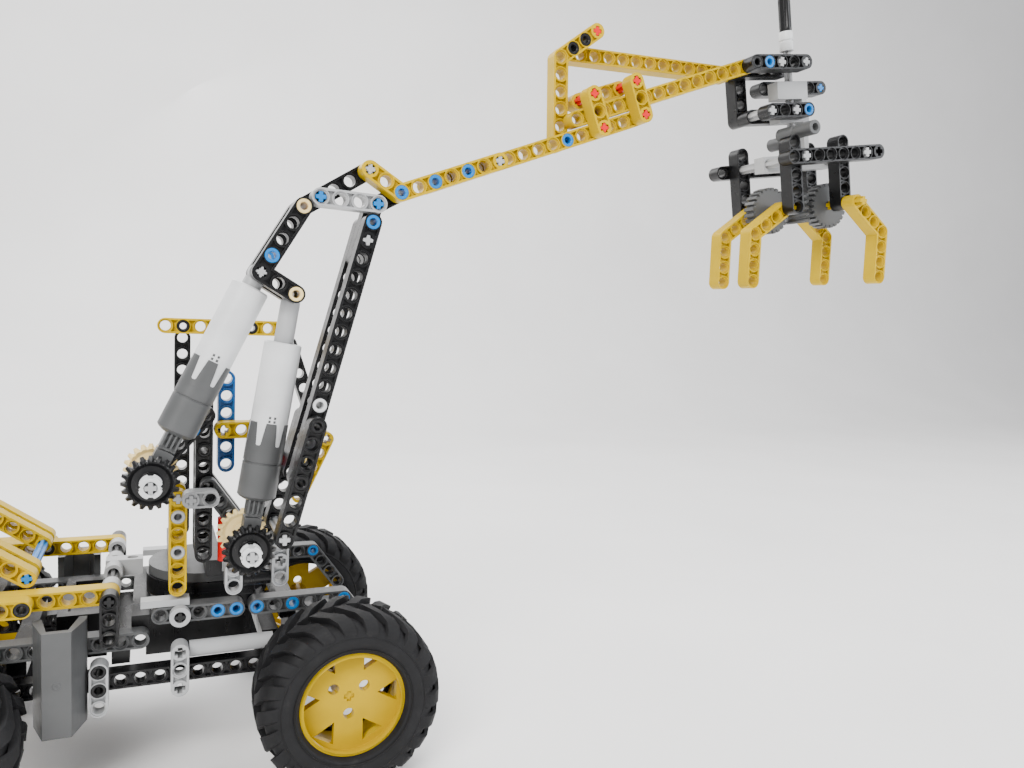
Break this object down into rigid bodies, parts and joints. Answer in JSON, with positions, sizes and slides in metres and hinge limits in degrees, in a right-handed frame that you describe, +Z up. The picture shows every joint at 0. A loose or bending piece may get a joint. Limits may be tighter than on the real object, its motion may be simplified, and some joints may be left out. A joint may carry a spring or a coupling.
{
  "type": "toy construction kit crane truck",
  "caption": "Four-wheeled construction-kit crane with a slewing tower, screw-actuator boom and jib, and a crank-driven claw.",
  "frame": {"origin": "on the floor, under the centre of the model's bounding box; the vehicle's centre plane is y = +9 mm", "axes": "+X along the crane's reach towards the claw, +Z up, +Y to the vehicle's left"},
  "size_m": [0.4902, 0.194, 0.3872],
  "materials": {
    "dark_grey": "moulded plastic, satin",
    "black": "moulded plastic, gloss",
    "yellow": "moulded plastic, gloss",
    "light_grey": "moulded plastic, satin",
    "blue_pin": "moulded plastic, gloss",
    "blue": "moulded plastic, gloss",
    "red": "moulded plastic, gloss",
    "tan": "moulded plastic, satin",
    "white_grey": "moulded plastic, satin",
    "tyre": "matt rubber"
  },
  "bodies": {
    "chassis": {"side_rails": "dark_grey", "bent_frames": "dark_grey", "black_beams": "black", "turntable_base": "black", "gearbox": "black", "axle_housings": "dark_grey", "side_panels": "dark_grey", "body_arms": "yellow", "body_diagonals": "yellow", "frame_links": "light_grey", "chassis_pins": "blue_pin"},
    "tower": {"turntable_top": "dark_grey", "tower_yellow": "yellow", "tower_black": "black", "tower_blue": "blue", "tower_diagonals": "dark_grey", "tower_brackets": "light_grey", "red_tube": "red", "cab_frame": "yellow", "tower_axles": "dark_grey"},
    "drive_1": {"gear_1": "black", "bevel_1": "tan", "gear_axle_1": "white_grey"},
    "drive_2": {"gear_2": "black", "bevel_2": "tan", "gear_axle_2": "white_grey"},
    "yoke_1": {"yoke_1": "dark_grey"},
    "tube_1": {"tube_1": "light_grey"},
    "screw_1": {"screw_1": "light_grey"},
    "rod_1": {"rod_1": "light_grey"},
    "yoke_2": {"yoke_2": "dark_grey"},
    "tube_2": {"tube_2": "light_grey"},
    "screw_2": {"screw_2": "light_grey"},
    "rod_2": {"rod_2": "light_grey"},
    "boom": {"boom_beams": "black", "boom_feet": "black", "boom_head": "black", "boom_pins": "blue_pin"},
    "rocker": {"rocker": "light_grey"},
    "bellcrank": {"bell_plates": "black", "bell_pins": "tan"},
    "jib": {"jib_bent": "yellow", "jib_beams": "yellow", "jib_mast": "yellow", "jib_pins": "red", "head_frame": "black", "head_connectors": "light_grey"},
    "crank": {"crank_handle": "black", "worm_screw": "dark_grey"},
    "claw_left": {"claw_left": "yellow"},
    "claw_right": {"claw_right": "yellow"},
    "wheel_fr": {"tyre_fr": "tyre", "rim_fr": "yellow"},
    "wheel_fl": {"tyre_fl": "tyre", "rim_fl": "yellow"},
    "wheel_rr": {"tyre_rr": "tyre", "rim_rr": "yellow"},
    "wheel_rl": {"tyre_rl": "tyre", "rim_rl": "yellow"}
  },
  "joints": [
    {"name": "tower_slew", "type": "hinge", "parent": "chassis", "child": "tower", "pos_m": [-0.09228, 0.009, 0.09], "axis": [0, 0, 1], "range_deg": [-25, 40]},
    {"name": "wheel_roll_fr", "type": "hinge", "parent": "chassis", "child": "wheel_fr", "pos_m": [-0.03628, -0.06, 0.0408], "axis": [0, 1, 0], "continuous": true},
    {"name": "wheel_roll_fl", "type": "hinge", "parent": "chassis", "child": "wheel_fl", "pos_m": [-0.03628, 0.078, 0.0408], "axis": [0, 1, 0], "continuous": true},
    {"name": "wheel_roll_rr", "type": "hinge", "parent": "chassis", "child": "wheel_rr", "pos_m": [-0.20428, -0.06, 0.0408], "axis": [0, 1, 0], "continuous": true},
    {"name": "wheel_roll_rl", "type": "hinge", "parent": "chassis", "child": "wheel_rl", "pos_m": [-0.20428, 0.078, 0.0408], "axis": [0, 1, 0], "continuous": true},
    {"name": "boom_lift", "type": "hinge", "parent": "tower", "child": "boom", "pos_m": [-0.06828, -0.073, 0.1194], "axis": [0, 1, 0], "range_deg": [0, 14]},
    {"name": "jib_tilt", "type": "hinge", "parent": "boom", "child": "jib", "pos_m": [-0.02122, -0.073, 0.26415], "axis": [0, 1, 0], "range_deg": [0, 25]},
    {"name": "rocker_swing", "type": "hinge", "parent": "boom", "child": "rocker", "pos_m": [-0.03101, -0.073, 0.25849], "axis": [0, 1, 0], "range_deg": [0, 24.29]},
    {"name": "bellcrank_swing", "type": "hinge", "parent": "rocker", "child": "bellcrank", "pos_m": [-0.055, -0.073, 0.25929], "axis": [0, 1, 0], "range_deg": [-11.56, 0]},
    {"name": "gear_1_turn", "type": "hinge", "parent": "tower", "child": "drive_1", "pos_m": [-0.11828, -0.073, 0.143], "axis": [0, 1, 0], "continuous": true},
    {"name": "yoke_1_swing", "type": "hinge", "parent": "tower", "child": "yoke_1", "pos_m": [-0.11828, -0.065, 0.143], "axis": [0, 1, 0], "range_deg": [0, 13.14]},
    {"name": "tube_1_swing", "type": "hinge", "parent": "yoke_1", "child": "tube_1", "pos_m": [-0.11828, -0.065, 0.143], "axis": [0, 1, 0], "range_deg": [-5.53, 0]},
    {"name": "screw_1_feed", "type": "slide", "parent": "tube_1", "child": "screw_1", "axis": [0.4308, 0, 0.9024], "range_m": [0, 0.01339]},
    {"name": "rod_1_feed", "type": "slide", "parent": "screw_1", "child": "rod_1", "axis": [0.4308, 0, 0.9024], "range_m": [0, 0.01273]},
    {"name": "gear_2_turn", "type": "hinge", "parent": "tower", "child": "drive_2", "pos_m": [-0.08078, -0.073, 0.113], "axis": [0, 1, 0], "continuous": true},
    {"name": "yoke_2_swing", "type": "hinge", "parent": "tower", "child": "yoke_2", "pos_m": [-0.08078, -0.065, 0.113], "axis": [0, 1, 0], "range_deg": [0, 12.64]},
    {"name": "tube_2_swing", "type": "hinge", "parent": "yoke_2", "child": "tube_2", "pos_m": [-0.08078, -0.065, 0.113], "axis": [0, 1, 0], "range_deg": [-3.98, 0]},
    {"name": "screw_2_feed", "type": "slide", "parent": "tube_2", "child": "screw_2", "axis": [0.154, 0, 0.9881], "range_m": [0, 0.00261]},
    {"name": "rod_2_feed", "type": "slide", "parent": "screw_2", "child": "rod_2", "axis": [0.154, 0, 0.9881], "range_m": [0, 0.01196]},
    {"name": "claw_left_close", "type": "hinge", "parent": "jib", "child": "claw_left", "pos_m": [0.18268, -0.065, 0.27496], "axis": [0, -1, 0], "range_deg": [-15, 45]},
    {"name": "claw_right_close", "type": "hinge", "parent": "jib", "child": "claw_right", "pos_m": [0.22218, -0.065, 0.28122], "axis": [0, 1, 0], "range_deg": [-15.2, 45.2]},
    {"name": "crank_turn", "type": "hinge", "parent": "jib", "child": "crank", "pos_m": [0.19085, -0.065, 0.35118], "axis": [-0.1564, 0, 0.9877], "continuous": true}
  ],
  "couplings": [
    {"joint": "rocker_swing", "follows": "jib_tilt", "ratio": 0.96951},
    {"joint": "bellcrank_swing", "follows": "jib_tilt", "ratio": -0.4616},
    {"joint": "yoke_1_swing", "follows": "boom_lift", "ratio": 0.93689},
    {"joint": "tube_1_swing", "follows": "jib_tilt", "ratio": -0.22094},
    {"joint": "screw_1_feed", "follows": "boom_lift", "m_per_rad": 0.05467},
    {"joint": "rod_1_feed", "follows": "jib_tilt", "m_per_rad": 0.02913},
    {"joint": "yoke_2_swing", "follows": "boom_lift", "ratio": 0.90117},
    {"joint": "tube_2_swing", "follows": "jib_tilt", "ratio": -0.15877},
    {"joint": "screw_2_feed", "follows": "boom_lift", "m_per_rad": 0.01066},
    {"joint": "rod_2_feed", "follows": "jib_tilt", "m_per_rad": 0.02735},
    {"joint": "claw_right_close", "follows": "claw_left_close", "ratio": 1}
  ]
}
